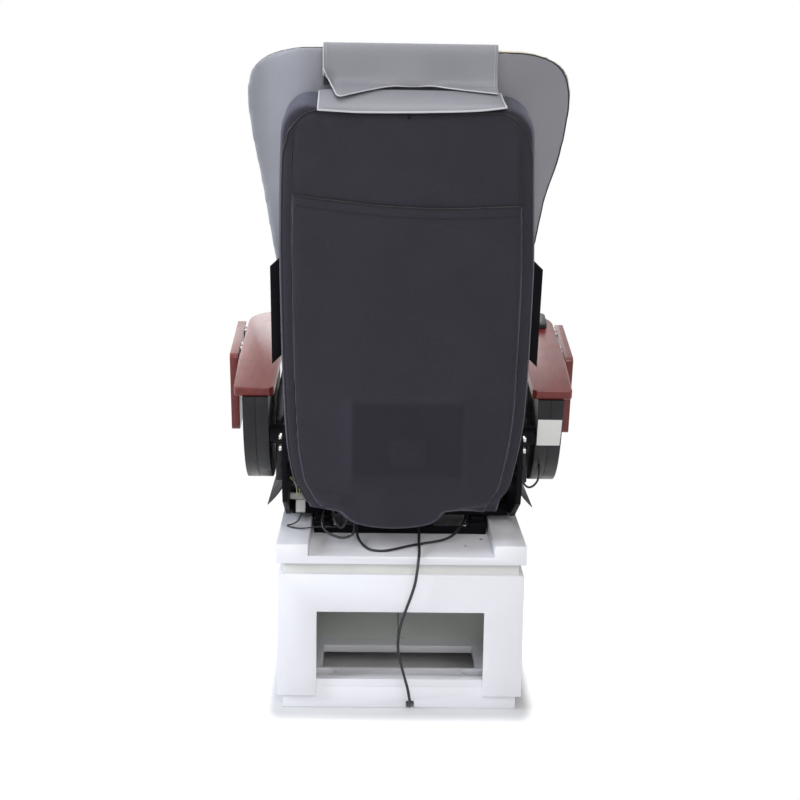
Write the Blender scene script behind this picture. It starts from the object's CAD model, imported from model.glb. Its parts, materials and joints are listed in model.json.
# Looks of a pedicure spa unit: a massage chair on a white cabinet with a foot basin, seen from behind.
import json
import math
import bpy
from mathutils import Matrix, Quaternion, Vector, noise
from mathutils.bvhtree import BVHTree


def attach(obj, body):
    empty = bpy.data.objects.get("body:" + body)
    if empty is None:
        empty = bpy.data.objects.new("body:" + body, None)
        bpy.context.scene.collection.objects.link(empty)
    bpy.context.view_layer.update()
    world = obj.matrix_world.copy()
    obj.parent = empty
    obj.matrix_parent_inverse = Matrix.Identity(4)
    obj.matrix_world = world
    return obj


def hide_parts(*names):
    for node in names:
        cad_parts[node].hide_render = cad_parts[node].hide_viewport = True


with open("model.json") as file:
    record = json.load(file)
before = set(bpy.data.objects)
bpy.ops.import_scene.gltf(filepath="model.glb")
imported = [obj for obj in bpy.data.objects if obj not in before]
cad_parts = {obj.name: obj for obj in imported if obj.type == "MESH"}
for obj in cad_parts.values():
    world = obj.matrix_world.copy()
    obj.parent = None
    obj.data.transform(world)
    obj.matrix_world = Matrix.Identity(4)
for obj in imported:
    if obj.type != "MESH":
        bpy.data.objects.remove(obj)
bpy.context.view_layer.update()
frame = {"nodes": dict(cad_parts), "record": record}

# Measures of the part in metres: its back plane, then the recline pivot and the arms' boards, each as the distance
# in from that plane, the height and the angle of lean
REAR = 0.502635
PIVOT_IN, PIVOT_UP, LEAN = 0.060, 0.560, math.radians(15)
ARM_IN, ARM_UP, SLOPE = 0.050, 0.741, math.radians(13)
BACK_OUT = Vector((0, math.cos(LEAN), -math.sin(LEAN)))
SIDES = ((1, "left"), (-1, "right"))
nodes = frame["nodes"]
record = frame["record"]
slot_of = {part["node"]: part["material_slot"] for part in record["subparts"]}
body_of_node = {name: body for body, members in record["behaviour"]["bodies"].items() for name in members}


# Places, given in millimetres. The cabinet's are x, distance in front of its back, height. The backrest's are x,
# distance behind the recline pivot's plane, distance up the back. The arms' are x, back, square to the board.
def cabinet_point(x, s, z):
    return Vector((x / 1000, REAR - s / 1000, z / 1000))


def leaning_point(x, y, z, inward, height, angle):
    y, z = y / 1000, z / 1000
    return Vector((x / 1000, REAR - inward + y * math.cos(angle) + z * math.sin(angle),
                   height - y * math.sin(angle) + z * math.cos(angle)))


def back_point(x, w, u):
    return leaning_point(x, w, u, PIVOT_IN, PIVOT_UP, LEAN)


def arm_point(x, y, z):
    return leaning_point(x, y, z, ARM_IN, ARM_UP, SLOPE)


def smooth(t):
    t = min(1.0, max(0.0, t))
    return t * t * (3 - 2 * t)


def mix(a, b, t):
    return a + (b - a) * t


def between(value, low, high, ease):
    """1 from low to high, easing off to 0 at each end."""
    return smooth((value - low) / ease) * smooth((high - value) / ease)


def bell(distance, width):
    """1 in the middle of a ridge or groove, falling away on both sides."""
    return math.exp(-(distance / width) ** 2)


def gathered(a, strength):
    """Runs from -1 to 1 as a does, with its places closer together toward both ends."""
    return math.sin(a * strength) / math.sin(strength)


def eased_table(value, rows):
    """Reads a table of (value, result) rows on a curve, so that an outline has no corners at its rows."""
    if value <= rows[0][0]:
        return rows[0][1]
    if value >= rows[-1][0]:
        return rows[-1][1]
    last = len(rows) - 1
    i = next(k for k in range(last) if value <= rows[k + 1][0])

    def rise(k):
        return (rows[k + 1][1] - rows[k][1]) / (rows[k + 1][0] - rows[k][0])

    def lean_at(k):
        if k in (0, last):
            return rise(min(k, last - 1))
        a, b = rise(k - 1), rise(k)
        return 0.0 if a * b <= 0 else 2 * a * b / (a + b)

    (x0, y0), (x1, y1) = rows[i], rows[i + 1]
    h = x1 - x0
    t = (value - x0) / h
    return ((2 * t ** 3 - 3 * t ** 2 + 1) * y0 + (t ** 3 - 2 * t ** 2 + t) * h * lean_at(i)
            + (3 * t ** 2 - 2 * t ** 3) * y1 + (t ** 3 - t ** 2) * h * lean_at(i + 1))


def through(points, steps):
    """A smooth run of points through the given ones."""
    out = []
    for i in range(len(points) - 1):
        a, b = points[max(0, i - 1)], points[i]
        c, d = points[i + 1], points[min(len(points) - 1, i + 2)]
        for k in range(steps):
            t = k / steps
            out.append(0.5 * (2 * b + (c - a) * t + (2 * a - 5 * b + 4 * c - d) * t * t
                              + (3 * b - a - 3 * c + d) * t ** 3))
    return out + [points[-1].copy()]


def link(obj):
    bpy.context.scene.collection.objects.link(obj)
    return obj


def place_camera():
    """Behind the unit, 1.32 m up, tilted down 10.6 degrees."""
    lens = bpy.data.cameras.new("view")
    lens.sensor_width = 36
    lens.lens = 65.66
    camera = link(bpy.data.objects.new("view", lens))
    tilt, pan, roll = math.radians(10.61), math.radians(1.04), math.radians(0.855)
    look = Vector((-math.sin(pan) * math.cos(tilt), -math.cos(pan) * math.cos(tilt), -math.sin(tilt)))
    camera.location = (0.066, REAR + 3.172, 1.320)
    camera.rotation_mode = "QUATERNION"
    camera.rotation_quaternion = look.to_track_quat("-Z", "Y") @ Quaternion((0, 0, 1), roll)
    bpy.context.scene.camera = camera


place_camera()


# Small tools of the bench
def only(obj):
    if bpy.context.object and bpy.context.object.mode != "OBJECT":
        bpy.ops.object.mode_set(mode="OBJECT")
    bpy.ops.object.select_all(action="DESELECT")
    obj.select_set(True)
    bpy.context.view_layer.objects.active = obj


class Editing:
    """Edit mode with the whole mesh selected, for the length of a with block."""

    def __init__(self, obj):
        only(obj)

    def __enter__(self):
        bpy.ops.object.mode_set(mode="EDIT")
        bpy.ops.mesh.select_all(action="SELECT")

    def __exit__(self, *trouble):
        bpy.ops.object.mode_set(mode="OBJECT")


def settle(obj):
    only(obj)
    bpy.ops.object.transform_apply(location=True, rotation=True, scale=True)
    return obj


def stand(obj, start, along, length):
    """Stands an upright form of that length on a place, turned to point along a direction."""
    turn = along.to_track_quat("Z", "Y").to_matrix().to_4x4()
    obj.matrix_world = Matrix.Translation(start + along * (length / 2)) @ turn
    settle(obj)


def finish_modifiers(obj):
    only(obj)
    for modifier in list(obj.modifiers):
        bpy.ops.object.modifier_apply(modifier=modifier.name)


def thicken(obj, thickness, offset=1):
    wall = obj.modifiers.new("wall", "SOLIDIFY")
    wall.thickness = thickness
    wall.offset = offset
    finish_modifiers(obj)


def ease_edges(obj, width, segments, angle=30):
    edge = obj.modifiers.new("eased", "BEVEL")
    edge.width = width
    edge.segments = segments
    edge.limit_method = "ANGLE"
    edge.angle_limit = math.radians(angle)
    finish_modifiers(obj)


def named(obj, name, *materials):
    obj.name = name
    obj.data.name = name
    obj.data.materials.clear()
    for material in materials:
        obj.data.materials.append(material)
    return obj


def give(obj, body, replaces=()):
    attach(obj, body)
    if replaces:
        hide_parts(*replaces)
    return obj


def soften(obj, angle=None):
    """Smooth shading all over, or only where faces meet at less than an angle."""
    only(obj)
    if angle:
        bpy.ops.object.shade_smooth_by_angle(angle=math.radians(angle))
    else:
        bpy.ops.object.shade_smooth()


def recalculate(obj):
    with Editing(obj):
        bpy.ops.mesh.remove_doubles(threshold=0.00001)
        bpy.ops.mesh.normals_make_consistent(inside=False)


def turn_over(obj, wrong):
    """Turns the faces over where they look the wrong way."""
    if wrong:
        with Editing(obj):
            bpy.ops.mesh.flip_normals()


# Shader work. A value is a number, a colour or a Signal.
def put(value, socket):
    if isinstance(value, Signal):
        value.tree.links.new(value.socket, socket)
    else:
        socket.default_value = value


def add(tree, kind, *values, settings=None, **inputs):
    """A new node. The values go to its sockets in order, the inputs to those of that name."""
    made = tree.nodes.new(kind)
    for key, value in (settings or {}).items():
        setattr(made, key, value)
    for socket, value in [*enumerate(values), *inputs.items()]:
        put(value, made.inputs[socket])
    return made


class Signal:
    """A node's output to reckon with: each sum adds one maths node to its tree."""

    def __init__(self, node, output=0):
        self.tree, self.socket = node.id_data, node.outputs[output]

    def sum(self, operation, *others):
        return Signal(add(self.tree, "ShaderNodeMath", self, *others, settings={"operation": operation}))

    def __add__(self, other):
        return self.sum("ADD", other)

    def __sub__(self, other):
        return self.sum("SUBTRACT", other)

    def __rsub__(self, other):
        return self.sum("MULTIPLY_ADD", -1.0, other)

    def __mul__(self, other):
        return self.sum("MULTIPLY", other)

    def __abs__(self):
        return self.sum("ABSOLUTE")

    def sine(self):
        return self.sum("SINE")

    def root(self):
        return self.sum("SQRT")

    def at_least(self, other):
        return self.sum("MAXIMUM", other)


def split(place):
    parts = add(place.tree, "ShaderNodeSeparateXYZ", place)
    return [Signal(parts, axis) for axis in "XYZ"]


def vectors(operation, first, *others):
    return Signal(add(first.tree, "ShaderNodeVectorMath", first, *others, settings={"operation": operation}))


def texture(place, scale, detail, rough=0.5, kind="FBM", output=0, **inputs):
    made = add(place.tree, "ShaderNodeTexNoise", settings={"noise_type": kind}, Vector=place, Scale=scale,
               Detail=detail, Roughness=rough, **inputs)
    return Signal(made, output)


def cells(place, scale, feature):
    return Signal(add(place.tree, "ShaderNodeTexVoronoi", settings={"feature": feature}, Vector=place, Scale=scale))


def band(value, low, high, to_low=0.0, to_high=1.0):
    """A soft step from one value to another as the signal goes from low to high."""
    return Signal(add(value.tree, "ShaderNodeMapRange", value, low, high, to_low, to_high,
                      settings={"interpolation_type": "SMOOTHSTEP"}))


def window(value, rise, fall):
    """1 between two soft steps, 0 outside them."""
    return band(value, *fall, 1.0, 0.0) * band(value, *rise)


def blend(factor, a, b):
    """One colour turning into another."""
    made = add(factor.tree, "ShaderNodeMix", factor, settings={"data_type": "RGBA"})
    for index, value in ((6, a), (7, b)):
        put(value if isinstance(value, Signal) else (*value, 1), made.inputs[index])
    return Signal(made, 2)


def shader_group(name, setting, value, build):
    """A shared group: a place and one setting go in, and what build returns comes out by name."""
    group = bpy.data.node_groups.new(name, "ShaderNodeTree")
    kind = "NodeSocketVector" if isinstance(value, tuple) else "NodeSocketFloat"
    group.interface.new_socket(name="Place", in_out="INPUT", socket_type="NodeSocketVector")
    group.interface.new_socket(name=setting, in_out="INPUT", socket_type=kind).default_value = value
    start = group.nodes.new("NodeGroupInput")
    made = build(Signal(start, "Place"), Signal(start, setting))
    for label in made:
        group.interface.new_socket(name=label, in_out="OUTPUT", socket_type="NodeSocketFloat")
    end = group.nodes.new("NodeGroupOutput")
    for label, signal in made.items():
        put(signal, end.inputs[label])
    return group


def build_knit(place, loops):
    x, y, z = split(place)
    across, up = x + y, y * 0.35 + z
    ribs = abs((across * loops * 3.1416).sine())
    rows = abs(((up * loops + ribs * 0.45) * 2.2).sine())
    height = ribs * (rows * 0.55 + 0.45)
    fluff = texture(place, 1900.0, 2.0)
    weave = (across * 1450.0).sine() * (up * 1380.0).sine() * 0.09 + texture(place, 290.0, 2.0, 0.7)
    return {"Height": fluff * 0.3 + height, "Thread": fluff * 0.5 + height * 0.5,
            "Patches": band(texture(place, 7.0, 3.0, 0.55), 0.35, 0.66), "Heather": band(weave, 0.36, 0.68)}


def build_leather(place, grain):
    warp = texture(place, 90.0, 2.0, output="Color")
    moved = vectors("MULTIPLY_ADD", warp, (0.0022, 0.0022, 0.0022), place)
    pebble = band(cells(moved, grain, "DISTANCE_TO_EDGE"), 0.0, 0.30)
    folds = texture(moved, 20.0, 3.0, kind="RIDGED_MULTIFRACTAL")
    return {"Height": texture(place, 2600.0, 1.0) * 0.18 + pebble, "Crease": band(folds, 0.55, 1.35),
            "Cloud": band(texture(place, 5.5, 3.0), 0.3, 0.7)}


def build_wood(place, stretch):
    drawn = vectors("MULTIPLY", place, stretch)
    return {"Dark": band(texture(drawn, 1.0, 5.0, 0.62, Distortion=0.7), 0.38, 0.64),
            "Pores": band(texture(drawn, 14.0, 3.0, 0.6), 0.48, 0.62),
            "Flame": band(texture(place, 6.0, 2.0), 0.3, 0.7)}


def build_handling(place, reach):
    lines = texture(vectors("MULTIPLY", place, (30.0, 30.0, 420.0)), 1.0, 4.0, 0.7)
    return {"Dust": band(texture(place, 9.0, 5.0, 0.6), 0.42, 0.75) * reach, "Scuffs": band(lines, 0.62, 0.72),
            "Ripple": texture(place, 38.0, 2.0)}


def build_moulding(place, grain):
    return {"Height": cells(place, grain, "SMOOTH_F1"),
            "Flow": band(texture(place, 16.0, 3.0, Distortion=0.6), 0.35, 0.68)}


knit_loops = shader_group("Knit loops", "Loops", 700.0, build_knit)
upholstery_grain = shader_group("Upholstery grain", "Grain", 620.0, build_leather)
stained_grain = shader_group("Stained grain", "Stretch", (60.0, 4.0, 60.0), build_wood)
handling_marks = shader_group("Handling marks", "Reach", 0.5, build_handling)
moulded_skin = shader_group("Moulded skin", "Grain", 1400.0, build_moulding)


def use_group(group, place, setting):
    """A shared group's outputs by name, for a place and the group's one setting."""
    made = add(place.tree, "ShaderNodeGroup", place, setting, settings={"node_tree": group})
    return {output.name: Signal(made, output.name) for output in made.outputs}


def start_material(name):
    material = bpy.data.materials.new(name)
    material.use_nodes = True
    return material, Signal(material.node_tree.nodes.new("ShaderNodeTexCoord"), "Object")


def finish_material(material, colour, rough, height, depth, strength, **settings):
    """Colour, roughness and relief vary over a piece. The settings are the shader's constants."""
    shader = material.node_tree.nodes["Principled BSDF"]
    relief = add(material.node_tree, "ShaderNodeBump", Height=height, Distance=depth, Strength=strength)
    put(colour, shader.inputs["Base Color"])
    put(rough, shader.inputs["Roughness"])
    put(Signal(relief), shader.inputs["Normal"])
    for label, value in settings.items():
        shader.inputs[label.replace("_", " ")].default_value = value
    return material


def knit_material(name, dark, light):
    """The knit of the cover, darker where the control box pulls it taut, a little less so over the box's plate."""
    material, place = start_material(name)
    turned = Signal(add(place.tree, "ShaderNodeMapping", Vector=place, Rotation=(LEAN, 0, 0)))
    knit = use_group(knit_loops, turned, 620.0)
    x, _, z = split(turned)
    up = z - ((REAR - PIVOT_IN) * math.sin(LEAN) + PIVOT_UP * math.cos(LEAN))
    taut = window(x, (-0.134, -0.120), (0.108, 0.118)) * window(up, (-0.05, 0.06), (0.196, 0.216))
    plate = window(x, (-0.052, -0.048), (0.026, 0.030)) * window(up, (0.054, 0.058), (0.116, 0.120))
    thread = blend(knit["Thread"], dark, light)
    worn = blend(knit["Patches"] * 0.16, thread, light)
    heather = blend(knit["Heather"] * 0.34, worn, light)
    tone = blend(taut * 0.36 - plate * 0.13, heather, dark)
    return finish_material(
        material, tone, band(knit["Thread"], 0.0, 1.0, 0.95, 0.72), knit["Height"], 0.00045, 0.8,
        Specular_IOR_Level=0.2, Sheen_Weight=0.50, Sheen_Roughness=0.35, Sheen_Tint=(0.62, 0.66, 0.85, 1))


def leather_material(name, colour, shadow):
    material, place = start_material(name)
    skin = use_group(upholstery_grain, place, 620.0)
    tone = blend(skin["Cloud"] * 0.35, colour, shadow)
    return finish_material(
        material, blend(skin["Crease"] * 0.22, tone, shadow), band(skin["Cloud"], 0.0, 1.0, 0.37, 0.49),
        skin["Crease"] * -0.8 + skin["Height"], 0.00022, 0.7,
        Specular_IOR_Level=0.42, Coat_Weight=0.08, Coat_Roughness=0.35)


def wood_material(name, colour, dark, rough):
    material, place = start_material(name)
    grain = use_group(stained_grain, place, (95.0, 5.5, 80.0))
    marks = use_group(handling_marks, place, 0.5)
    base = blend(grain["Dark"] * 0.6 + grain["Flame"] * 0.3, colour, dark)
    lined = blend(grain["Pores"] * 0.45, base, [0.35 * part for part in dark])
    return finish_material(
        material, lined, band(marks["Dust"], 0.0, 0.5, rough, rough + 0.16),
        grain["Pores"] * -0.5 + grain["Dark"], 0.00010, 0.5,
        Specular_IOR_Level=0.4, Coat_Weight=0.25, Coat_Roughness=0.2)


def lacquer_material(name, colour, shadow, rough, coat, coat_rough=0.06):
    material, place = start_material(name)
    marks = use_group(handling_marks, place, 0.35)
    scuffed = blend(marks["Scuffs"] * 0.06, blend(marks["Dust"], colour, shadow), shadow)
    return finish_material(
        material, scuffed, band(marks["Dust"], 0.0, 0.35, rough, rough + 0.14), marks["Ripple"], 0.00012, 0.35,
        Coat_Weight=coat, Coat_Roughness=coat_rough)


def plastic_material(name, colour, light, rough, shine=0.45, grain=1400.0, depth=0.00006):
    material, place = start_material(name)
    skin = use_group(moulded_skin, place, grain)
    marks = use_group(handling_marks, place, 0.4)
    dusty = blend(marks["Dust"] * 0.35, blend(skin["Flow"] * 0.35, colour, light), light)
    return finish_material(
        material, dusty, band(skin["Flow"], 0.0, 1.0, rough - 0.05, rough + 0.08), skin["Height"], depth, 0.6,
        Specular_IOR_Level=shine)


def metal_material(name, colour, rough, brushed=0.0):
    material, place = start_material(name)
    marks = use_group(handling_marks, place, 0.3)
    dull = (colour[0] * 0.72, colour[1] * 0.72, colour[2] * 0.74)
    return finish_material(
        material, blend(marks["Dust"] * 0.6, colour, dull), band(marks["Scuffs"], 0.0, 1.0, rough, rough + 0.12),
        marks["Scuffs"] * brushed + marks["Ripple"], 0.00005, 0.4, Metallic=1.0)


def sheath_material(name, colour, light):
    material, place = start_material(name)
    skin = use_group(moulded_skin, place, 900.0)
    marks = use_group(handling_marks, place, 0.6)
    return finish_material(
        material, blend(marks["Dust"] * 0.5, colour, light), band(skin["Flow"], 0.0, 1.0, 0.34, 0.5),
        skin["Height"], 0.00004, 0.5, Specular_IOR_Level=0.4)


# Every finish: its colours, then the numbers its maker takes, in the maker's order
finishes = {}
for maker, looks in [
        (lacquer_material, {
            "white_board": ((0.85, 0.85, 0.90), (0.80, 0.80, 0.86), 0.3, 0.3, 0.24),
            "grey_board": ((0.70, 0.71, 0.68), (0.60, 0.61, 0.58), 0.3, 0.15),
            "white_shell": ((0.82, 0.82, 0.85), (0.73, 0.73, 0.76), 0.1, 0.8),
            "bowl": ((0.62, 0.74, 0.80), (0.52, 0.66, 0.73), 0.08, 0.9),
            "inner_board": ((0.62, 0.64, 0.60), (0.54, 0.56, 0.52), 0.42, 0.05)}),
        (metal_material, {
            "chrome": ((0.80, 0.81, 0.83), 0.06),
            "chromed_plastic": ((0.74, 0.75, 0.77), 0.14),
            "steel": ((0.52, 0.53, 0.55), 0.3, 0.8),
            "screw_steel": ((0.62, 0.62, 0.60), 0.24)}),
        (plastic_material, {
            "black_steel": ((0.004, 0.004, 0.006), (0.011, 0.011, 0.014), 0.46, 0.06, 900.0, 0.00008),
            "black_plastic": ((0.012, 0.012, 0.014), (0.034, 0.035, 0.040), 0.38, 0.3),
            "grey_plastic": ((0.07, 0.07, 0.08), (0.13, 0.13, 0.15), 0.45),
            "white_plastic": ((0.72, 0.72, 0.69), (0.60, 0.60, 0.57), 0.3),
            "label_white": ((0.80, 0.80, 0.79), (0.72, 0.72, 0.70), 0.5),
            "skirt_black": ((0.010, 0.010, 0.011), (0.03, 0.03, 0.034), 0.6, 0.2)}),
        (sheath_material, {
            "lead": ((0.018, 0.017, 0.022), (0.075, 0.073, 0.085)),
            "thread_dark": ((0.006, 0.006, 0.009), (0.016, 0.016, 0.022)),
            "thread_grey": ((0.34, 0.34, 0.37), (0.44, 0.44, 0.46)),
            "thread_pale": ((0.50, 0.50, 0.53), (0.60, 0.60, 0.63)),
            "green_yellow": ((0.42, 0.55, 0.04), (0.55, 0.62, 0.10))}),
        (knit_material, {"cover": ((0.008, 0.007, 0.010), (0.046, 0.042, 0.056))}),
        (leather_material, {
            "cream_leather": ((0.80, 0.74, 0.60), (0.66, 0.59, 0.46)),
            "grey_leather": ((0.262, 0.264, 0.292), (0.195, 0.197, 0.222))}),
        (wood_material, {"mahogany": ((0.200, 0.022, 0.017), (0.125, 0.012, 0.010), 0.3)})]:
    finishes.update({name: maker(name, *look) for name, look in looks.items()})


# Cords. Their routes are the ones of the part's source.
def tube(name, points, diameter, material, body, cyclic=False, sides=3):
    curve = bpy.data.curves.new(name, "CURVE")
    curve.dimensions = "3D"
    curve.bevel_depth = diameter / 2
    curve.bevel_resolution = sides
    curve.use_fill_caps = True
    line = curve.splines.new("POLY")
    line.points.add(len(points) - 1)
    for point, place in zip(line.points, points):
        point.co = (*place, 1)
    line.use_cyclic_u = cyclic
    curve.materials.append(material)
    return give(link(bpy.data.objects.new(name, curve)), body)


def run_length(points):
    return sum((b - a).length for a, b in zip(points, points[1:]))


lead_route = [cabinet_point(*p) for p in [
    (-42, 230, 386), (-42, 214, 386.7), (-42, 207, 387.1), (-42, 188, 387), (-43, 168, 385), (-43.5, 144, 382),
    (-43, 118, 378.7), (-42, 92, 376.3), (-42, 64, 374.8), (-41.5, 36, 373.2), (-40.5, 8, 371.6),
    (-39.5, -6, 368.4), (-38, -15.5, 359.5), (-36.5, -19.5, 346), (-34.5, -20.5, 330), (-31, -20.5, 308),
    (-23, -20.5, 280), (-11, -20, 245), (0, -20, 210), (5, -20, 175), (4, -20, 145), (-3, -20, 115), (-11, -20, 85),
    (-18, -19, 60), (-22, -16, 38), (-25, -5, 18), (-25, 10, 7), (-25, 28, 3.6), (-25, 52, 3.6), (-20, 78, 3.6),
    (-6, 99, 3.6), (12, 108, 3.55), (24.7, 108, 3.55)]]
lead_exit = lead_route[0]


def coil_route(steps=36, turns=2.5):
    """The coil on the floor, inward on the lower layer and outward on the upper, and the tail that leaves it."""
    points = []
    half = int(turns * steps)
    for i in range(2 * half + 1):
        a = math.radians(i * 360 / steps)
        down, up = min(i, half) / half, max(0, i - half) / half
        r = 0.0455 - 0.007 * turns * (down - up)
        climb = smooth((i - half + steps / 4) / (steps / 2))
        points.append(Vector((0.025 + r * math.sin(a), REAR - 0.1535 + r * math.cos(a), 0.00355 + 0.007 * climb)))
    end = points[-1]
    tail = [end + Vector((x / 1000, y / 1000, -0.004 * x / 1000)) for x, y in ((12, 1), (24, 4), (34, 8.5))]
    return points[1:] + through([end] + tail, 4)[1:]


power_route = through(lead_route, 6)[:-1] + coil_route()
power_lead = tube("power_lead", power_route, 0.0065, finishes["lead"], "base")
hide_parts("mains_lead", "lead_coil")


def make_lead_sleeve(along, length=0.020):
    """A tapered moulded sleeve with rings cut round it, where the mains lead leaves its housing."""
    bpy.ops.mesh.primitive_cone_add(vertices=28, radius1=0.0056, radius2=0.0040, depth=length, end_fill_type="NGON")
    sleeve = named(bpy.context.object, "power_lead_sleeve", finishes["lead"])
    with Editing(sleeve):
        for i in range(1, 8):
            z = -length / 2 + length * (i / 8.5)
            bpy.ops.mesh.select_all(action="SELECT")
            bpy.ops.mesh.bisect(plane_co=(0, 0, z), plane_no=(0, 0, 1))
    levels = sorted({round(v.co.z, 5) for v in sleeve.data.vertices})
    for v in sleeve.data.vertices:
        k = levels.index(round(v.co.z, 5))
        if 0 < k < len(levels) - 1 and k % 2 == 0:
            v.co.x *= 0.84
            v.co.y *= 0.84
    stand(sleeve, lead_exit, along, length)
    soften(sleeve, 40)
    return give(sleeve, "base")


lead_sleeve = make_lead_sleeve((lead_route[1] - lead_route[0]).normalized())
round(run_length(power_route), 3)


def fixed_lead(name, points, diameter, body, replaces):
    route = through(points, 5)
    lead = tube(name, route, diameter, finishes["lead"], body)
    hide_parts(replaces)
    round(run_length(route), 3)


for name, diameter, body, replaces, route in [
        ("slide_lead", 0.006, "base", "rail_lead", [
            (-163, 320, 386), (-158, 316, 387), (-154, 302, 389), (-157, 268, 390.5), (-154, 236, 391),
            (-150, 208, 391.5), (-145, 184, 389), (-135, 159, 382.5), (-119, 137, 375.5), (-98, 121, 371),
            (-73, 108, 369.5), (-50, 96, 369.3), (-28, 82, 369.3), (-7, 66, 369.3), (14, 49, 369.3),
            (32, 37, 369.3), (48, 33, 369.3), (63, 37, 369.3), (75, 49, 369.3), (86, 76, 369.5), (95, 108, 371),
            (101, 136, 376), (102, 162, 383), (101, 188, 387.3), (99, 210, 387.4), (97, 230, 384), (94, 256, 377),
            (90, 330, 370), (86, 420, 371), (80, 460, 374), (76, 487, 376)]),
        ("seat_lead_low", 0.006, "seat", "seat_leads", [
            (182, 225, 419), (182, 140, 424), (182, 84, 428), (178, 66, 412), (160, 62, 398), (134, 62, 391),
            (112, 64, 398), (108, 76, 410), (108, 110, 416), (108, 225, 419)]),
        ("seat_lead_short", 0.006, "seat", "seat_leads", [
            (158, 225, 419), (158, 150, 430), (157, 104, 432), (150, 86, 420), (138, 82, 409), (128, 86, 420),
            (126, 104, 430), (126, 225, 419)]),
        ("seat_lead_thin", 0.0035, "seat", "seat_leads", [
            (232, 158, 428), (240, 150, 408), (254, 146, 399), (266, 144, 396.5), (258, 132, 396), (240, 122, 396),
            (222, 116, 398), (200, 112, 402), (176, 110, 404), (148, 116, 403), (140, 150, 406), (140, 225, 412)])]:
    fixed_lead(name, [cabinet_point(*p) for p in route], diameter, body, replaces)


def rim_place(degrees):
    """A place on the curved rim of an arm's casing, in the plane of its board."""
    a = math.radians(degrees)
    return Vector((0, 6 - 212.5 * (1 - math.cos(a)), -46 - 254 * math.sin(a) ** 0.82))


def arm_lead_route():
    """The lead from the outlet in the right arm's casing round to the seat's side plate."""
    a = math.radians(33)
    out = Vector((0, math.cos(a) / 212.5, -math.sin(a) / 278)).normalized()
    first, second = [arm_point(-318, *(rim_place(33) + out * far)[1:]) for far in (0.4, 12)]
    turns = [(1, 10, -13), (6, 14, -26), (15, 15, -36), (25, 14, -39), (34, 12, -33), (41, 10, -20), (43.4, 8, -6)]
    return [first, second] + [second + Vector(turn) / 1000 for turn in turns]


fixed_lead("arm_lead", arm_lead_route(), 0.005, "seat", "seat_leads")


# CAD nodes whose shape is right: a merged copy with eased edges stands for each
def eased(node, width, finish=None):
    piece = link(bpy.data.objects.new(node + "_finished", nodes[node].data.copy()))
    named(piece, piece.name, finishes[finish or slot_of[node]])
    only(piece)
    bpy.ops.mesh.customdata_custom_splitnormals_clear()
    with Editing(piece):
        bpy.ops.mesh.remove_doubles(threshold=0.00002)
        bpy.ops.mesh.dissolve_limited(angle_limit=math.radians(0.8))
    ease_edges(piece, width, 3 if width >= 0.003 else 2, 32)
    soften(piece, 38)
    give(piece, body_of_node[node], [node])


for node, width in [
        ("plinth", 0.0012), ("floor_board", 0.0008), ("rear_surround", 0.0014), ("deck_slab", 0.0016),
        ("tub_housing", 0.005), ("bowl_trim", 0.001), ("jet_grille", 0.0008), ("drain_body", 0.0008),
        ("drain_stopper", 0.001), ("mixer_body", 0.0014), ("mixer_lever", 0.0018), ("shower_holder", 0.001),
        ("footrest_post", 0.001), ("footrest_bracket", 0.001), ("jet_button", 0.001), ("rail_frame", 0.0008),
        ("slide_motor", 0.001), ("supply_box", 0.0016), ("seat_carriage", 0.0008), ("seat_frame", 0.001),
        ("lead_connector", 0.001), ("recline_motor", 0.001), ("recline_rod", 0.0008), ("back_frame", 0.0008),
        ("back_side_plates", 0.0008), ("control_box", 0.002), ("massage_rails", 0.0005),
        ("massage_carriage", 0.001), ("massage_rollers", 0.002), ("arm_casing_left", 0.003),
        ("arm_casing_right", 0.003), ("tray_left", 0.0022), ("tray_right", 0.0022), ("armrest_left", 0.0032),
        ("armrest_right", 0.0032), ("tray_hinges_left", 0.0003), ("tray_hinges_right", 0.0003),
        ("arm_console", 0.0022), ("console_key", 0.0006), ("seat_side_covers", 0.004), ("mains_plug", 0.0012),
        ("jet_housing", 0.0008), ("jet_impeller", 0.0005), ("hand_shower", 0.0016), ("spout", 0.0008)]:
    eased(node, width)
eased("carcass_boards", 0.0006)
eased("partition_panels", 0.0006, "inner_board")
eased("foot_bowl", 0.0008)
eased("seat_skirts", 0.0005, "skirt_black")


# The plain pale room: a floor that keeps the shadow and turns plain white farther out, and soft lamps
def eye_ray(tree):
    """1 for what the camera sees, straight, in a mirror or through glass."""
    path = tree.nodes.new("ShaderNodeLightPath")
    straight, mirrored, passed = [Signal(path, f"Is {kind} Ray") for kind in ("Camera", "Glossy", "Transmission")]
    return straight.at_least(mirrored.at_least(passed))


def lay_floor():
    bpy.ops.mesh.primitive_plane_add(size=24, location=(0, 0, -0.0004))
    floor = bpy.context.object
    material, place = start_material("pale_floor")
    tree = material.node_tree
    x, y, _ = split(place)
    wide = (abs(x) - 0.27).at_least(0.0) * 2.2
    deep = (abs(y) - 0.49).at_least(0.0)
    out = (wide * wide + deep * deep).root()
    seen = eye_ray(tree)
    under = band(abs(x), 0.262, 0.270, 1.0, 0.0) * window(y, (-0.725, -0.715), (0.484, 0.490))
    shader = tree.nodes["Principled BSDF"]
    put(blend(seen * band(out, 0.04, 0.40), (0.74, 0.74, 0.74), (0, 0, 0)), shader.inputs["Base Color"])
    shader.inputs["Roughness"].default_value = 0.9
    shader.inputs["Specular IOR Level"].default_value = 0.0
    glow = add(tree, "ShaderNodeEmission", Color=(1, 1, 1, 1),
               Strength=seen * (1.0 - under) * band(out, 0.03, 0.15))
    both = add(tree, "ShaderNodeAddShader", Signal(shader), Signal(glow))
    put(Signal(both), tree.nodes["Material Output"].inputs["Surface"])
    named(floor, "pale_floor", material)
    settle(floor)


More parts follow.
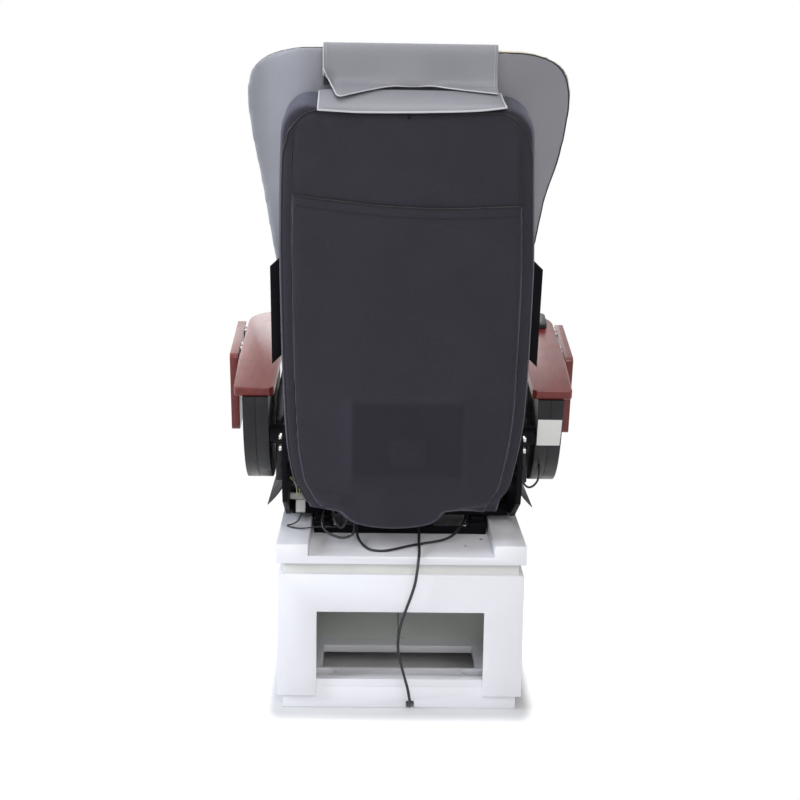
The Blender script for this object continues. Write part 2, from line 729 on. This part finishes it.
def light_room():
    world = bpy.data.worlds.new("white_room")
    bpy.context.scene.world = world
    world.use_nodes = True
    back = world.node_tree.nodes["Background"]
    back.inputs["Color"].default_value = (1, 1, 1, 1)
    put(eye_ray(world.node_tree) * 0.76 + 0.24, back.inputs["Strength"])
    for name, place, aim, size, power, tint in [
            ("side", (3.5, 1.3, 2.0), (0, 0.4, 0.9), 1.8, 108, (0.84, 0.91, 1.0)),
            ("rear", (-0.6, 4.4, 3.0), (0, 0.4, 0.7), 2.4, 88, (1, 0.98, 0.96)),
            ("low", (0.9, 4.6, 0.7), (0, 0.4, 0.2), 1.6, 10, (1, 1, 1)),
            ("fill", (-3.2, 2.2, 1.7), (0, 0.3, 0.7), 2.6, 6, (1, 1, 1)),
            ("overhead", (0.2, 0.4, 3.9), (0, 0.2, 0.6), 2.8, 44, (1, 1, 1)),
            ("front", (0.6, -4.0, 2.3), (0, -0.2, 0.7), 2.8, 46, (1, 1, 1))]:
        lamp = bpy.data.lights.new(name, "AREA")
        lamp.color = tint
        lamp.shape = "SQUARE"
        lamp.size = size
        lamp.energy = power
        holder = link(bpy.data.objects.new(name, lamp))
        holder.location = place
        holder.rotation_euler = (Vector(aim) - Vector(place)).to_track_quat("-Z", "Y").to_euler()
    bpy.context.scene.view_settings.view_transform = "Standard"


lay_floor()
light_room()


# Back cover, in millimetres on the backrest's own frame: its top, the plane where it meets the cushion, its depth,
# the radius of its upper corners, how far back its side strip runs, and how far in from the outline the rear panel's
# rim lies. The rows are the outline's (height, half width), the hem's (x, height), the side strip's (distance back,
# inset), the rear shoulder's (distance in, distance back) and the crown's (distance back, rise).
COVER_TOP = 843
COVER_FRONT = -25
COVER_DEPTH = 103.5
CORNER = 58
GUSSET = 99
RIM = 26
cover_left_rows = [
    (-116, 196), (-78, 204), (-64, 208), (-49, 220), (-20, 235), (3, 246), (29, 251), (90, 259), (184, 263),
    (304, 266), (532, 267), (640, 265), (725, 262), (843, 256)]
cover_right_rows = [
    (-116, 206), (-78, 212), (-62, 216), (-44, 222), (-30, 232), (-15, 241), (9, 247), (35, 251), (92, 260),
    (191, 267), (311, 268), (480, 267), (593, 262), (696, 256), (752, 253), (807, 250), (843, 245)]
cover_hem_rows = [
    (-262, -50), (-240, -60), (-226, -68), (-214, -73), (-187, -72), (-154, -72), (-122, -71), (-99, -72),
    (-88, -79), (-79, -92), (-63, -104), (-41, -112), (-4, -115), (33, -114), (70, -112), (98, -106), (114, -97),
    (126, -85), (139, -75), (158, -71), (181, -68), (204, -65), (226, -58), (262, -45)]
gusset_rows = [
    (0, 1.0), (18, 0.8), (40, 0.4), (52, -0.4), (64, -0.8), (74, 0.8), (83, 4.5), (90, 10.0), (95, 16.5), (99, 26.0)]
shoulder_rows = [
    (26, 99.0), (28, 100.8), (31, 102.2), (36, 103.2), (44, 103.5), (300, 103.5)]
crown_rows = [
    (0, 5.5), (34, 4.5), (66, 3), (88, 1.2), (99, 0)]


def cover_half(u, side=1):
    return eased_table(u, cover_left_rows if side > 0 else cover_right_rows)


def cover_hem(x):
    return eased_table(x, cover_hem_rows)


def cover_top(x):
    reach = min(CORNER, max(0.0, abs(x) - 204))
    return COVER_TOP - (CORNER - math.sqrt(CORNER ** 2 - reach ** 2))


def box_bulge(x, u):
    """The control box pressing the cloth out: flat over the box, with slack slopes beside it, and its plate."""
    left = max(0.0, x - 113)
    right = max(0.0, -127 - x)
    up = max(0.0, u - (203 - 0.02 * x))
    down = max(0.0, 30 - u)
    d = math.sqrt((left / 38) ** 2 + (right / 26) ** 2 + (up / 24) ** 2 + (down / 60) ** 2)
    plate = between(x, -50, 28, 4) * between(u, 56, 118, 4)
    return 15.0 * math.exp(-d) * smooth((232 - abs(x)) / 70) + 1.0 * plate


def fold(x, u, start, end, width, height):
    """A soft ridge of cloth along a line from start to end, or a groove where its height is below 0."""
    (x0, u0), (x1, u1) = start, end
    length = math.hypot(x1 - x0, u1 - u0)
    ex, eu = (x1 - x0) / length, (u1 - u0) / length
    along = (x - x0) * ex + (u - u0) * eu
    off = (x - x0) * eu - (u - u0) * ex
    return height * between(along, 0, length, 0.3 * length) * bell(off, width)


cover_folds = [
    ((206, -38), (112, -52), 10, 4.5), ((206, -16), (92, -30), 8, -4.0), ((-78, -66), (-216, -34), 9, 4.6),
    ((-80, -84), (-214, -54), 8, -3.2), ((60, -20), (-70, -30), 12, 1.8), ((226, 338), (-236, 352), 4, 1.5),
    ((236, 226), (128, 200), 9, 1.8), ((-240, 226), (-136, 203), 9, 1.8)]


def cover_rear(x, u):
    """How far back the cloth of the rear panel stands at a place on it."""
    dx = max(0.2, cover_half(u, x) - RIM - abs(x))
    du = max(0.2, cover_top(x * 262 / 236) - 9.5 - u)
    dh = max(0.2, u - cover_hem(x) + 3)
    d = (dx ** -3 + du ** -3 + dh ** -3) ** (-1 / 3)
    w = COVER_FRONT + eased_table(RIM + d, shoulder_rows)
    w += 3.0 * (1 - (x / 245) ** 2) * between(u, -60, 840, 200)
    w += box_bulge(x, u) + sum(fold(x, u, *line) for line in cover_folds)
    w += 1.4 * bell(x - 115, 9) * bell(u - 203, 9)
    w += 0.9 * noise.noise(Vector((x * 0.011, u * 0.007, 3.1))) + 0.5 * noise.noise(Vector((x * 0.03, u * 0.02, 7.7)))
    sway = smooth((10 - u) / 90)
    return w + sway * (2.6 * math.sin(x * 0.021 + 0.7) + 1.4 * math.sin(x * 0.055))


def cover_place(a, b, c):
    """Maps a place on the cube (across, up, back) onto the cover."""
    ax = gathered(a, 1.32)
    low, top = -70.0, cover_top(262 * ax)
    for _ in range(5):
        low = cover_hem(ax * (cover_half(low, a) - 9 * (c + 1)))
    u0 = mix(low, top, 0.5 + 0.5 * gathered(b, 1.15))
    half = cover_half(u0, a)
    depth = COVER_DEPTH * (0.12 + 0.88 * smooth((u0 + 116) / 130))
    back = GUSSET * (c + 1) / 2
    inset = eased_table(back, gusset_rows)
    if inset < 1:
        inset = mix(1.0, inset, smooth((abs(ax) - 0.55) / 0.35))
    crown = eased_table(back, crown_rows) * (1 + 0.4 * ax) * smooth((u0 - COVER_TOP + 70) / 70)
    u = 363.5 + (u0 - 363.5) * (1 - 0.3 * max(0, inset) / 479.5) + crown
    if c > 0.9999:
        x = ax * (half - RIM)
        return x, cover_rear(x, u), u
    rim = cover_rear(ax * (half - RIM), u)
    w = COVER_FRONT + COVER_DEPTH - depth + depth * back / COVER_DEPTH
    return ax * (half - inset), mix(w, rim, smooth((back - 60) / 39) * 0.999), u


def make_cover():
    bpy.ops.mesh.primitive_cube_add(size=2)
    cover = bpy.context.object
    with Editing(cover):
        bpy.ops.mesh.select_all(action="DESELECT")
    for face in cover.data.polygons:
        face.select = face.normal.y < -0.9
    bpy.ops.object.mode_set(mode="EDIT")
    bpy.ops.mesh.delete(type="FACE")
    bpy.ops.mesh.select_all(action="SELECT")
    bpy.ops.mesh.subdivide(number_cuts=74)
    bpy.ops.object.mode_set(mode="OBJECT")
    for v in cover.data.vertices:
        x, w, u = cover_place(v.co.x, v.co.z, v.co.y)
        v.co = back_point(x, w, u)
    recalculate(cover)
    thicken(cover, 0.0028, -1)
    named(cover, "knit_cover", finishes["cover"])
    soften(cover)
    give(cover, "backrest", ["back_cover"])
    return cover


knit_cover = make_cover()


def piping(name, points, diameter, thread, cyclic=False):
    """A sewn cord edge, kept as a mesh tube."""
    only(tube(name, points, diameter, finishes[thread], "backrest", cyclic=cyclic))
    bpy.ops.object.convert(target="MESH")
    bpy.ops.object.shade_smooth()


def on_cover(a, b, c):
    return back_point(*cover_place(a, b, c))


def on_rear(x, u, proud):
    """A place on the rear panel, so many millimetres proud of it."""
    return back_point(x, cover_rear(x, u) + proud, u)


def hood_line():
    """The corded seam of the hood: up each side near the outline, round the corner and over the top."""
    places = [(1, b, mix(0.73, 0.88, smooth((b - 0.84) / 0.16))) for b in [-0.94 + 1.94 * i / 60 for i in range(61)]]
    places += [(math.cos(math.pi * i / 60), 1, mix(0.88, 0.955, smooth(min(i, 60 - i) / 10))) for i in range(1, 60)]
    places += [(-a, b, c) for a, b, c in reversed(places[:61])]
    return [on_cover(*place) for place in places]


piping("hood_piping", hood_line(), 0.0040, "thread_dark")


def seam_line(side, count, hem_x, low, top, inward):
    """Places up the seam where the rear panel meets a side strip, from a little over the hem."""
    line = []
    for i in range(count + 1):
        u = mix(cover_hem(side * hem_x) + low, top, i / count)
        line.append((side * (cover_half(u, side) - inward - 1.2 * math.sin(u * 0.021 + side)), u))
    return line


def pocket_top(x):
    return eased_table(x, [(-236, 647), (-180, 645), (-110, 642), (-50, 641), (0, 643), (60, 646), (120, 652),
                           (180, 658), (236, 665)])


def pocket_gape(x, u, top):
    """How far the pocket's slack mouth stands open."""
    lip = smooth((u - top + 90) / 90)
    return 2.6 * lip * (1 - (x / 238) ** 4) * (0.75 + 0.25 * math.sin(x * 0.018 + 1))


def make_pocket():
    bpy.ops.mesh.primitive_grid_add(x_subdivisions=64, y_subdivisions=96, size=2)
    pocket = bpy.context.object
    for v in pocket.data.vertices:
        a, t = v.co.x, (v.co.y + 1) / 2
        top = pocket_top(a * 236)
        x = a * (cover_half(-18, a) - 28)
        for _ in range(5):
            u = mix(cover_hem(x) + 1.2, top, t)
            x = a * (cover_half(u, a) - 28)
        v.co = on_rear(x, u, 0.4 + 0.5 * smooth((u + 10) / 60) + pocket_gape(x, u, top))
    recalculate(pocket)
    turn_over(pocket, pocket.data.polygons[len(pocket.data.polygons) // 2].normal.y < 0)
    thicken(pocket, 0.0012)
    named(pocket, "rear_pocket", finishes["cover"])
    soften(pocket)
    give(pocket, "backrest")
    edge = [(x, pocket_top(x)) for x in [mix(234, -234, i / 60) for i in range(61)]]
    piping("pocket_edge", [on_rear(x, u, 2.1 + pocket_gape(x, u, u)) for x, u in edge], 0.0032, "thread_dark")


make_pocket()


def stitches(name, places, size):
    """Short sewn stitches, one small bead each, joined into one row."""
    bpy.ops.mesh.primitive_cylinder_add(vertices=6, radius=size * 0.28, depth=size, end_fill_type="NGON")
    seed = bpy.context.object
    verts = [v.co.copy() for v in seed.data.vertices]
    faces = [list(f.vertices) for f in seed.data.polygons]
    bpy.data.objects.remove(seed)
    all_verts, all_faces = [], []
    for i, place in enumerate(places):
        way = (places[min(i + 1, len(places) - 1)] - places[max(i - 1, 0)]).normalized()
        turn = way.to_track_quat("Z", "Y").to_matrix()
        base = len(all_verts)
        all_verts += [tuple(turn @ v + place + BACK_OUT * (size * 0.10)) for v in verts]
        all_faces += [[base + k for k in f] for f in faces]
    mesh = bpy.data.meshes.new(name)
    mesh.from_pydata(all_verts, [], all_faces)
    row = link(bpy.data.objects.new(name, mesh))
    named(row, name, finishes["thread_dark"])
    give(row, "backrest")


def spread(points, gap):
    """Places at an even distance along a run."""
    out, left = [points[0]], gap
    for a, b in zip(points, points[1:]):
        length = (b - a).length
        while left <= length and length > 0:
            out.append(a.lerp(b, left / length))
            left += gap
        left -= length
    return out


def pocket_surface(x, u):
    return on_rear(x, u, 1.7 + 0.7 * smooth((u + 10) / 60) + pocket_gape(x, u, pocket_top(x)))


for side, label in SIDES:
    seam = [on_rear(x, u, 0.1) for x, u in seam_line(side, 60, 225, 4, 812, 26.5)]
    piping("panel_seam_" + label, seam, 0.0030, "thread_dark")
    row = [pocket_surface(x, u) if u < pocket_top(x) else on_rear(x, u, 0.6)
           for x, u in seam_line(side, 120, 222, 8, 806, 30.5)]
    stitches("panel_stitches_" + label, spread(row, 0.0072), 0.0028)
mouth = [pocket_surface(x, pocket_top(x) - 22) for x in range(228, -232, -6)]
stitches("pocket_stitches", spread(mouth, 0.0042), 0.0026)


# Upholstery. Each form starts a little under its full size, and the cloth solver swells it.
def round_off(pad):
    """Cuts every face finer and shades the form smoothly."""
    finer = pad.modifiers.new("finer", "SUBSURF")
    finer.levels = finer.render_levels = 1
    finish_modifiers(pad)
    soften(pad)


def swell(pad, voxel, cap, held, stop=20):
    """Remeshes a closed form and lets air pressure fill it. held(co) is how firmly a place is kept, 0 to 1."""
    only(pad)
    pad.data.remesh_voxel_size = voxel
    pad.data.use_remesh_fix_poles = False
    bpy.ops.object.voxel_remesh()
    start = [v.co.copy() for v in pad.data.vertices]
    kept = pad.vertex_groups.new(name="kept")
    for i, co in enumerate(start):
        kept.add([i], held(co), "REPLACE")
    cloth = pad.modifiers.new("filling", "CLOTH")
    for key, value in {
            "quality": 5, "mass": 0.35, "tension_stiffness": 22, "compression_stiffness": 22,
            "shear_stiffness": 10, "bending_stiffness": 3.0, "use_pressure": True,
            "uniform_pressure_force": 4.0, "vertex_group_mass": "kept"}.items():
        setattr(cloth.settings, key, value)
    cloth.settings.effector_weights.gravity = 0
    cloth.collision_settings.use_collision = False
    cloth.point_cache.frame_start = 1
    cloth.point_cache.frame_end = stop
    scene = bpy.context.scene
    for frame_number in range(1, stop + 1):
        scene.frame_set(frame_number)
    moved = pad.evaluated_get(bpy.context.evaluated_depsgraph_get())
    ends = [v.co.copy() for v in moved.data.vertices]
    pad.modifiers.clear()
    scene.frame_set(1)
    for v, a, b in zip(pad.data.vertices, start, ends):
        step = b - a
        if step.length > cap:
            step = step.normalized() * cap
        v.co = a + step
    pad.vertex_groups.clear()
    smoother = pad.modifiers.new("settled", "SMOOTH")
    smoother.factor = 0.5
    smoother.iterations = 4
    round_off(pad)


def block_form(cuts, place):
    """A cube cut finely and laid onto a form: place takes (across, depth, up), each from -1 to 1."""
    bpy.ops.mesh.primitive_cube_add(size=2)
    form = bpy.context.object
    with Editing(form):
        bpy.ops.mesh.subdivide(number_cuts=cuts)
    for v in form.data.vertices:
        v.co = place(v.co.x, v.co.y, v.co.z)
    recalculate(form)
    return form


# How far out the long grooves of the back cushion and of the seat lie, in millimetres; (height, half width) rows
BACK_GROOVE = 172
SEAT_GROOVE = 152
cushion_half_rows = [
    (0, 236), (30, 246), (340, 262), (517, 290), (603, 303), (643, 309), (742, 325), (783, 330), (840, 334),
    (868, 332), (887, 328), (900, 321), (912, 311), (921, 299), (929, 281), (935, 261), (938, 244), (940, 224),
    (942, 190)]


def wing(x, u):
    """How far forward the cushion's wings stand of its middle."""
    return 52 * smooth((abs(x) - 190) / 130) * smooth((u - 420) / 260)


def level_top(y, u):
    """The height up the back that keeps the upholstery's top level, however far it stands forward."""
    return u + min(0, y - COVER_FRONT) * math.tan(LEAN) * smooth((u - 640) / 260)


def cushion_thickness(f, x, u):
    end = (1 - max(0, (u - 860) / 94) ** 3) ** 0.5 if u < 953.9 else 0.0
    end *= min(1, (u + 10) / 50) ** 0.4 if u > -10 else 0.0
    full = (108 + 14 * bell(u - 200, 120)) * (1 - min(1, abs(f)) ** 6) ** 0.5
    channel = 10 * bell(abs(x) - BACK_GROOVE, 14)
    return max(9, (full - channel) * end)


def back_cushion_place(a, c, b):
    """c = 1 is the back of the cushion, -1 its front; the start is drawn in a few millimetres."""
    slim = 5.0 - 7.0 * smooth((b + 0.1) / 0.5)
    u = mix(-2, 939.5, 0.5 + 0.5 * gathered(b, 1.35))
    half = eased_table(u, cushion_half_rows) - slim
    if a < 0:
        half -= 11 * smooth((700 - u) / 90) * smooth((u - 400) / 100)
    fa = gathered(a, 1.35)
    x = fa * half
    thick = cushion_thickness(fa, x, u) - 6
    y = -26.0 - wing(x, u) - max(6, thick) * (1 - c) / 2
    return back_point(x, y, level_top(y, u))


def back_parts(co):
    """A world point on the backrest's frame, in millimetres."""
    dy = co.y - (REAR - PIVOT_IN)
    dz = co.z - PIVOT_UP
    return (co.x * 1000, (dy * math.cos(LEAN) - dz * math.sin(LEAN)) * 1000,
            (dy * math.sin(LEAN) + dz * math.cos(LEAN)) * 1000)


def colour_seam(cushion):
    """The thin cord where the grey back panel meets the cream front, found all round the cushion."""
    sides = {}
    for face in cushion.data.polygons:
        for index in face.vertices:
            sides.setdefault(index, set()).add(face.material_index)
    found = {}
    for index, both in sides.items():
        if len(both) == 2:
            x, w, u = back_parts(cushion.data.vertices[index].co)
            turn = int((math.atan2(x, u - 470) / (2 * math.pi) + 0.5) * 220) % 220
            found.setdefault(turn, []).append(Vector((x, w, u)))
    ring = [sum(found[turn], Vector()) / len(found[turn]) for turn in sorted(found)]
    for _ in range(3):
        ring = [(ring[i - 1] + 2 * ring[i] + ring[(i + 1) % len(ring)]) / 4 for i in range(len(ring))]
    surface = BVHTree.FromPolygons([v.co for v in cushion.data.vertices], [f.vertices for f in cushion.data.polygons])
    line = []
    for point in ring:
        place, normal = surface.find_nearest(back_point(*point))[:2]
        line.append(place + normal * 0.0004)
    piping("cushion_seam", line, 0.0028, "thread_dark", cyclic=True)


def make_back_cushion():
    def held(co):
        x, w, u = back_parts(co)
        return 1.0 if w > -30 - wing(x, u) and abs(x) < 250 else 0.25

    cushion = block_form(40, back_cushion_place)
    swell(cushion, 0.008, 0.022, held)
    for v in cushion.data.vertices:
        x, w, u = back_parts(v.co)
        if abs(x) < 285:
            w = min(w, -25.7 - wing(x, u) * 0.96)
        channel = 6.0 * bell(abs(x) - BACK_GROOVE, 9) * between(u, 40, 880, 60)
        channel += sum(4.0 * bell(u - line, 8) * smooth((BACK_GROOVE - abs(x)) / 20) for line in (300, 520, 712))
        if w < -60 - wing(x, u):
            w += channel
        v.co = back_point(x, w, u)
    named(cushion, "back_cushion_filled", finishes["cream_leather"], finishes["grey_leather"])
    for face in cushion.data.polygons:
        x, w, u = back_parts(face.center)
        if w > -25.4 - wing(x, u) - mix(2.4, 15, smooth((x + 30) / 120)):
            face.material_index = 1
    colour_seam(cushion)
    give(cushion, "backrest", ["back_cushion"])
    return cushion


back_cushion = make_back_cushion()


def seat_height(f, t):
    full = 92 + 22 * t + 16 * smooth((abs(f) - 0.6) / 0.15) + 10 * (1 - f * f)
    full *= 1 - max(0, (t - 0.78) / 0.22) ** 2.4 * 0.72
    full *= 1 - max(0, (0.12 - t) / 0.12) ** 2 * 0.4
    return max(10, full * max(0.25, (1 - min(1, abs(f)) ** 8) ** 0.4))


def seat_place(a, c, b):
    """c runs from the back of the seat to its front, b from the base to the top."""
    t = 0.5 - 0.5 * gathered(c, 1.3)
    f = gathered(a, 1.35)
    half = 250 * (1 - 0.03 * abs(2 * t - 1) ** 4) - 5
    return cabinet_point(f * half, mix(211, 649, t), 506.5 + (seat_height(f, t) - 6) * (b + 1) / 2)


def make_seat_cushion():
    seat = block_form(34, seat_place)
    swell(seat, 0.007, 0.022, lambda co: 1.0 if co.z < 0.510 else 0.2)
    for v in seat.data.vertices:
        x, s, z = v.co.x * 1000, (REAR - v.co.y) * 1000, max(505.6, v.co.z * 1000)
        if z > 560:
            z -= 5.5 * bell(abs(x) - SEAT_GROOVE, 7) * between(s, 240, 640, 40)
            z -= 3.5 * bell(s - 470, 7) * smooth((SEAT_GROOVE - abs(x)) / 12)
        v.co = cabinet_point(x, s, z)
    named(seat, "seat_cushion_filled", finishes["cream_leather"])
    give(seat, "seat", ["seat_cushion"])


make_seat_cushion()


def footrest_place(a, c, b):
    f = gathered(a, 1.35)
    t = 0.5 - 0.5 * gathered(c, 1.3)
    height = 8 + 50 * max(0.12, (1 - abs(f) ** 4) ** 0.5 * (1 - abs(2 * t - 1) ** 4) ** 0.5)
    return cabinet_point(f * 147, 1192 + mix(-52, 52, t), 503 + max(5, height - 5) * (b + 1) / 2)


def make_footrest_pad():
    pad = block_form(26, footrest_place)
    swell(pad, 0.005, 0.010, lambda co: 1.0 if co.z < 0.506 else 0.2)
    for v in pad.data.vertices:
        v.co.z = max(v.co.z, 0.5021)
    named(pad, "footrest_pad_filled", finishes["cream_leather"])
    give(pad, "footrest_top", ["footrest_pad"])


make_footrest_pad()


def pillow_place(a, c, b):
    f = gathered(a, 1.35)
    t = 0.5 + 0.5 * gathered(b, 1.3)
    edge = (1 - min(1, abs(f)) ** 4) ** 0.5
    ends = max(0, 1 - abs(2 * t - 1) ** 4) ** 0.5
    y = -137.2 - max(6, 58 * edge * ends - 5) * (1 - c) / 2
    return back_point(f * 173, y, level_top(y, mix(746, 942, t)))


def make_pillow():
    pillow = block_form(28, pillow_place)
    swell(pillow, 0.006, 0.010, lambda co: 1.0 if back_parts(co)[1] > -139 else 0.2)
    for v in pillow.data.vertices:
        x, w, u = back_parts(v.co)
        v.co = back_point(x, min(w, -136.7), u)
    named(pillow, "head_pillow_filled", finishes["cream_leather"])
    give(pillow, "backrest", ["head_pillow"])


make_pillow()


# The pillow's strap: a leather face with a rounded corner, over a square knit lining
def strap_over(x):
    """How far the strap's free edge lies out over the flap, from 0 to 1."""
    return eased_table(x, [
        (-181, 0.55), (-120, 0.42), (-77, 0.26), (-40, 0.04), (-10, 0), (10, 0.0), (40, 0.10), (88, 0.50),
        (120, 0.82), (141, 1.0), (148, 0.85), (154, 0.5), (160, 0.2), (166, 0), (181, 0)])


def strap_run(x, lift, over):
    """The strap's line from the pillow over the cushion and down behind it, raised by lift."""
    wave = 3 * math.sin(math.radians(x * 1.4 + 40)) * (1 - over)
    rows = [(-140.4, 939), (-134.4, 946), (-122.4, 949), (-76.4, 949), (-36, 947), (-25, 943.5), (-20, 933),
            (-17 + 0.4 * wave, 911), (-14 + 0.7 * wave, 891), (-11 + wave + 3 * over, 877),
            (-9.5 + wave + 21 * over, 869.5 - 1.5 * over), (-9.2 + wave + 46 * over, 868 - 3.5 * over),
            (-9 + wave + 71 * over, 867 - 6.5 * over)]
    fine = through([Vector((w, level_top(w, u), 0)) for w, u in rows], 5)
    out = []
    for i, point in enumerate(fine):
        way = (fine[min(i + 1, len(fine) - 1)] - fine[max(i - 1, 0)]).normalized()
        out.append(point + Vector((-way.y, way.x, 0)) * lift)
    return out


def strap_lower(x):
    """How far up the strap's rounded corner is cut, in millimetres."""
    return eased_table(x, [
        (-181, -2), (-120, 0), (-60, 1), (148, 0), (154, 2), (160, 5), (166, 14), (170, 22), (173, 29), (177, 38)])


strap_runs = {}


def strap_place(x, t, lift, lower=strap_lower, over=strap_over):
    """A place on the strap, t of the way from the pillow to its free edge."""
    key = (round(x, 2), lift)
    if key not in strap_runs:
        strap_runs[key] = strap_run(x, lift, over(x))
    run = strap_runs[key]
    place = t * (len(run) - 1)
    i = min(int(place), len(run) - 2)
    point = run[i].lerp(run[i + 1], place - i)
    drop = lower(x) * smooth((t - 0.62) / 0.38)
    curl = 2.2 * smooth((x - 150) / 22) * smooth((t - 0.8) / 0.2)
    ripple = 0.9 * math.sin(x * 0.05 + 4 * t) * smooth((t - 0.45) / 0.25) * (1 - over(x))
    return back_point(x, point.x + curl + ripple, point.y + drop)


def band_sheet(name, half, columns, thick, slot, *shape):
    """One layer of the strap: shape is its lift, how its edge is cut and how far it lies out over the flap."""
    bpy.ops.mesh.primitive_grid_add(x_subdivisions=columns, y_subdivisions=84, size=2)
    sheet = bpy.context.object
    for v in sheet.data.vertices:
        v.co = strap_place(mix(-half, half, (v.co.x + 1) / 2), (v.co.y + 1) / 2, *shape)
    with Editing(sheet):
        bpy.ops.mesh.normals_make_consistent(inside=False)
    turn_over(sheet, max(sheet.data.polygons, key=lambda f: f.center.z).normal.z < 0)
    thicken(sheet, thick)
    named(sheet, name, finishes[slot])
    soften(sheet, 60)
    return give(sheet, "backrest")


strap_face = band_sheet("pillow_strap_face", 176, 90, 0.0026, "grey_leather", 1.5)
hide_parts("pillow_strap")
strap_lining = band_sheet("pillow_strap_lining", 175, 60, 0.0010, "cover",
                          0.3, lambda x: 1 + 2 * math.sin(x * 0.02), lambda x: 0)
rim = [strap_place(mix(-175.4, 175.4, i / 90), 1.0, 3.0) for i in range(91)]
rim += [strap_place(175.4, 0.40 + 0.60 * i / 40, 3.0) for i in range(39, -1, -1)]
piping("strap_piping", rim, 0.0030, "thread_pale")
for side, label in SIDES:
    seam = [strap_place(side * 169.5, 0.30 + 0.69 * i / 60, 4.05) for i in range(61 if side < 0 else 46)]
    piping("strap_seam_" + label, seam, 0.0012, "thread_grey")


# The weighted flap on top of the cover
flap_rows = [(-190, 11), (-165, 7.5), (-126, 3.4), (-60, 0.5), (0, -1.2), (96, -2.4), (150, -0.4), (190, 1.8)]


def flap_place(a, c, b):
    t = (c + 1) / 2
    x = a * (183 if a > 0 else 182 + 7 * t)
    w = mix(3, 88.5, t)
    u = 842.6 + 15 * (1 - t) - 4 * t ** 6 + t ** 3 * eased_table(x, flap_rows)
    edge = (1 - min(1, abs(a)) ** 10) ** 0.5 * (1 - abs(2 * t - 1) ** 12) ** 0.5
    u += 1.0 + (b + 1) / 2 * (2.0 + 5.0 * edge)
    return back_point(x, w, level_top(w, u))


def make_flap():
    flap = block_form(44, flap_place)
    round_off(flap)
    named(flap, "pillow_flap_filled", finishes["grey_leather"])
    give(flap, "backrest", ["pillow_flap"])


make_flap()
rim = [(1, -0.9 + 1.9 * i / 20) for i in range(20)] + [(1 - 2 * i / 80, 1) for i in range(81)]
rim += [(-1, 1 - 1.9 * i / 20) for i in range(1, 21)]
piping("flap_piping", [flap_place(a, c, 0.1) for a, c in rim], 0.0040, "thread_pale")


# Small things of the photograph: a blank sticker, bolts, screws, wires and the zip's pull
def casing_rim(x, degrees, proud):
    """A place on the curved rim of the right arm's casing."""
    place = rim_place(degrees)
    way = (rim_place(degrees + 0.5) - rim_place(max(0.0, degrees - 0.5))).normalized()
    return arm_point(x, place.y - way.z * proud, place.z + way.y * proud)


def make_sticker():
    bpy.ops.mesh.primitive_grid_add(x_subdivisions=12, y_subdivisions=14, size=2)
    sticker = bpy.context.object
    for v in sticker.data.vertices:
        a, t = (v.co.x + 1) / 2, (1 - v.co.y) / 2
        x = mix(mix(-306.0, -306.5, t), mix(-360.5, -359.0, t), a)
        v.co = casing_rim(x, mix(3.0, 16.5, t), 0.3)
    recalculate(sticker)
    turn_over(sticker, sticker.data.polygons[0].normal.y < 0)
    thicken(sticker, 0.0003)
    named(sticker, "blank_sticker", finishes["label_white"])
    give(sticker, "arm_right")


make_sticker()


def round_head(name, centre, along, radius, length, body, sides=6, dome=0.12):
    """A bolt or screw head with an eased edge, standing on a surface."""
    bpy.ops.mesh.primitive_cylinder_add(vertices=sides, radius=radius, depth=length)
    head = bpy.context.object
    ease_edges(head, min(radius, length) * dome, 2)
    stand(head, centre, along, length)
    named(head, name, finishes["screw_steel"])
    soften(head, 40)
    give(head, body)


upward = Vector((0, 0, 1))
for side, label in SIDES:
    for k, z in enumerate((627, 601)):
        round_head(f"frame_bolt_{label}_{k + 1}", cabinet_point(side * 272.2, 62, z), Vector((side, 0, 0)),
                   0.0078, 0.0080, "seat")
    for k, s in enumerate((200, 522)):
        round_head(f"rail_bolt_{label}_{k + 1}", cabinet_point(side * 155, s, 383.2), upward,
                   0.0066, 0.0043, "base", dome=0.15)
for k, (x, s) in enumerate(((-190, 144), (-150, 85))):
    round_head(f"deck_screw_{k + 1}", cabinet_point(x, s, 366.1), upward, 0.0042, 0.0014, "base", sides=24, dome=0.4)


def zip_pull():
    """The little pull that hangs at the middle of the hood's edge."""
    bpy.ops.mesh.primitive_torus_add(major_radius=0.0030, minor_radius=0.0008, major_segments=20, minor_segments=8)
    pull = bpy.context.object
    for v in pull.data.vertices:
        v.co = Vector((v.co.x * 0.8, v.co.z, v.co.y * 1.7))
    pull.matrix_world = Matrix.Translation(on_rear(3.0, 829.0, 1.1)) @ Matrix.Rotation(-LEAN, 4, "X")
    settle(pull)
    named(pull, "zip_pull", finishes["black_steel"])
    soften(pull)
    give(pull, "backrest")


zip_pull()

# Wires that go up from the white connector to the seat frame
for name, dx, finish in [("connector_wire_green", 0, "green_yellow"), ("connector_wire_white", 6, "white_plastic"),
                         ("connector_wire_grey", -6, "thread_grey")]:
    route = through([cabinet_point(x + dx, s, z) for x, s, z in [
        (240, 158, 457.5), (239.5, 155, 462), (238.5, 148, 470), (238, 142, 482), (240, 140, 495), (246, 141, 505),
        (253.5, 143, 511), (259.2, 144, 513)]], 4)
    wire = tube(name, route, 0.0028, finishes[finish], "seat", sides=2)
    round(run_length(route), 3)
